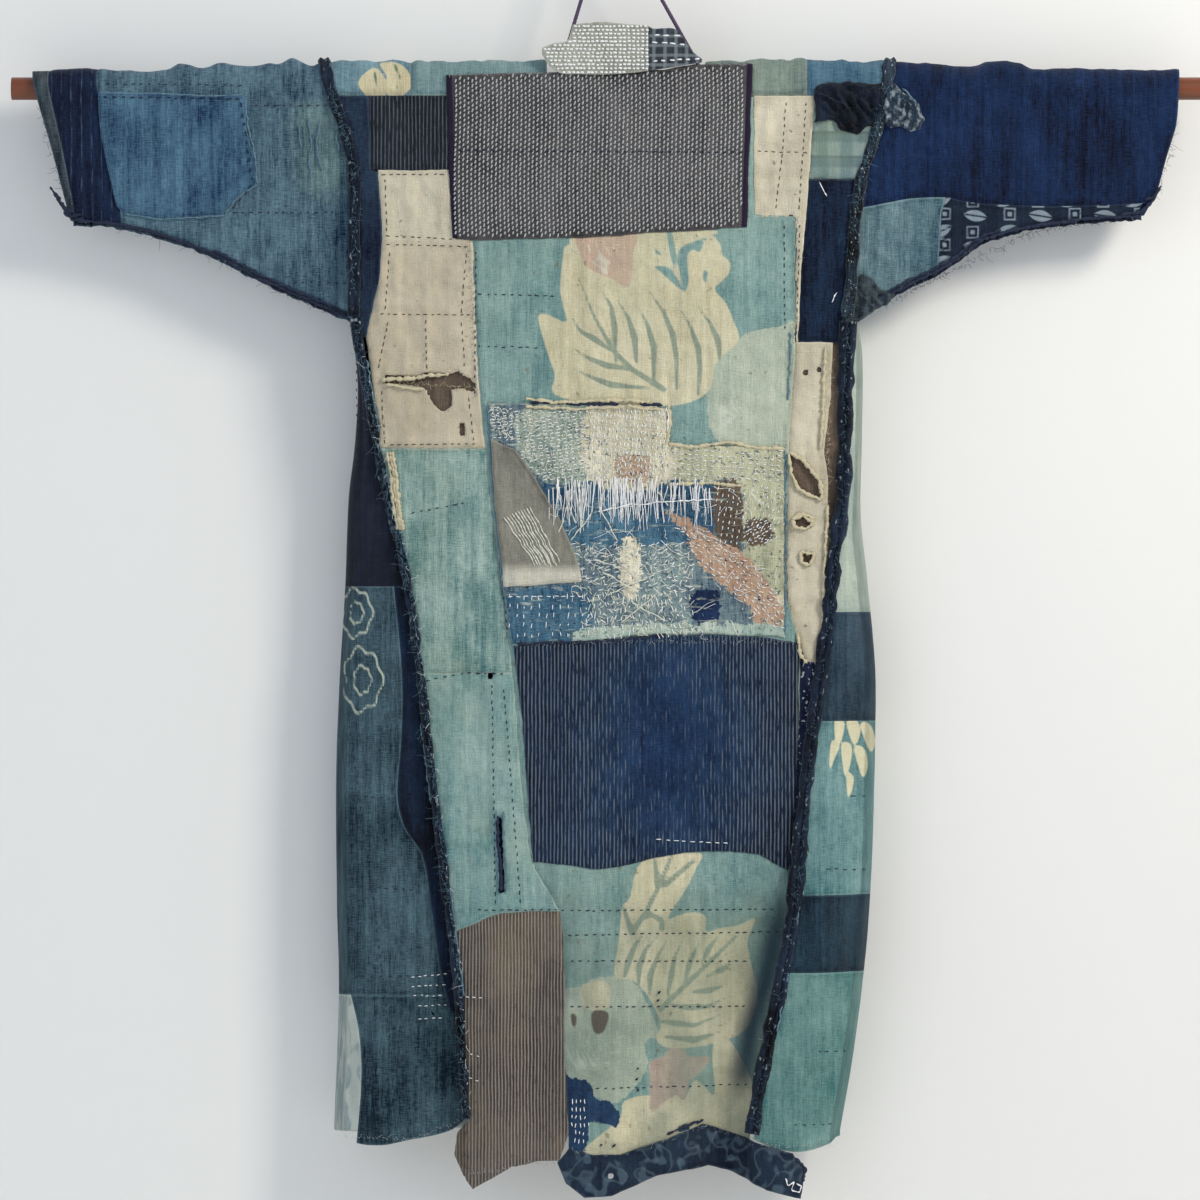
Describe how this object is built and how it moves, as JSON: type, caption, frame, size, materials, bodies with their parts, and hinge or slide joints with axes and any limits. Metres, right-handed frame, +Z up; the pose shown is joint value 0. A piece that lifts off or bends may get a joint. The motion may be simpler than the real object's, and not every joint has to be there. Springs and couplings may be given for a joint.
{
  "type": "patched boro coat",
  "caption": "Long cotton coat of patched and stitched indigo cloths, inside out, hung by its sleeves on a wooden rod with a cord.",
  "frame": {"origin": "where a nail carries the cord's loop, 184 mm above the rod's axis", "axes": "+X along the rod to the right, seen from the coat's back; +Z up; the coat's back faces -Y and a wall would stand on the +Y side"},
  "size_m": [1.326, 0.1015, 1.4062],
  "materials": {
    "ink": "black-indigo cotton, worn",
    "navy": "dark indigo cotton, worn",
    "indigo": "mid indigo cotton",
    "slate": "slate cotton check",
    "faded": "faded blue cotton",
    "teal": "faded teal cotton, printed",
    "pale": "pale grey-green cotton",
    "cream": "undyed beige cotton",
    "brown": "brown striped cotton",
    "grey": "grey stitched cotton",
    "off_white": "dense white stitching on mixed cottons",
    "plum": "dark purple twisted cord",
    "wood": "red-brown varnished wood, satin"
  },
  "bodies": {
    "root": {"rod": "wood", "cord": "plum", "cord_tie_left": "plum", "cord_tie_right": "plum", "shoulder_left_print": "faded", "shoulder_left_teal": "teal", "shoulder_right_pale": "pale", "shoulder_right_blue": "faded", "back_middle": "teal", "back_left_navy": "navy", "back_left_pinstripe": "ink", "back_left_beige": "cream", "back_left_teal_upper": "teal", "back_left_teal_lower": "teal", "back_left_brown_stripe": "brown", "back_right_beige": "cream", "back_right_plaid": "pale", "back_right_navy": "navy", "back_right_beige_torn": "cream", "back_right_brown": "brown", "back_right_specked": "ink", "patch_sashiko": "grey", "patch_stitched": "off_white", "patch_grey": "grey", "patch_striped": "navy", "hem_band": "navy", "patch_torn_navy": "ink", "front_left_upper": "indigo", "front_left_overlap": "slate", "collar_front_left": "ink", "front_right_upper": "faded", "front_right_overlap": "indigo", "collar_front_right": "ink", "side_left_black": "ink", "side_left_strip": "navy", "side_left_indigo": "indigo", "side_left_pale": "pale", "side_right_pale": "pale", "side_right_slate": "slate", "side_right_flower": "teal", "side_right_navy": "navy", "side_right_teal": "teal", "sleeve_left_cuff": "slate", "sleeve_left_band": "navy", "sleeve_left": "indigo", "sleeve_left_patch": "faded", "sleeve_right": "navy", "sleeve_right_motif": "ink", "sleeve_right_square": "faded", "seam_side_left": "ink", "seam_side_right": "ink", "seam_armhole_left": "ink", "seam_armhole_right": "ink", "seam_sleeve_left": "ink", "seam_sleeve_right": "ink", "collar_back_stitched": "off_white", "collar_back_plaid": "slate"}
  },
  "joints": []
}
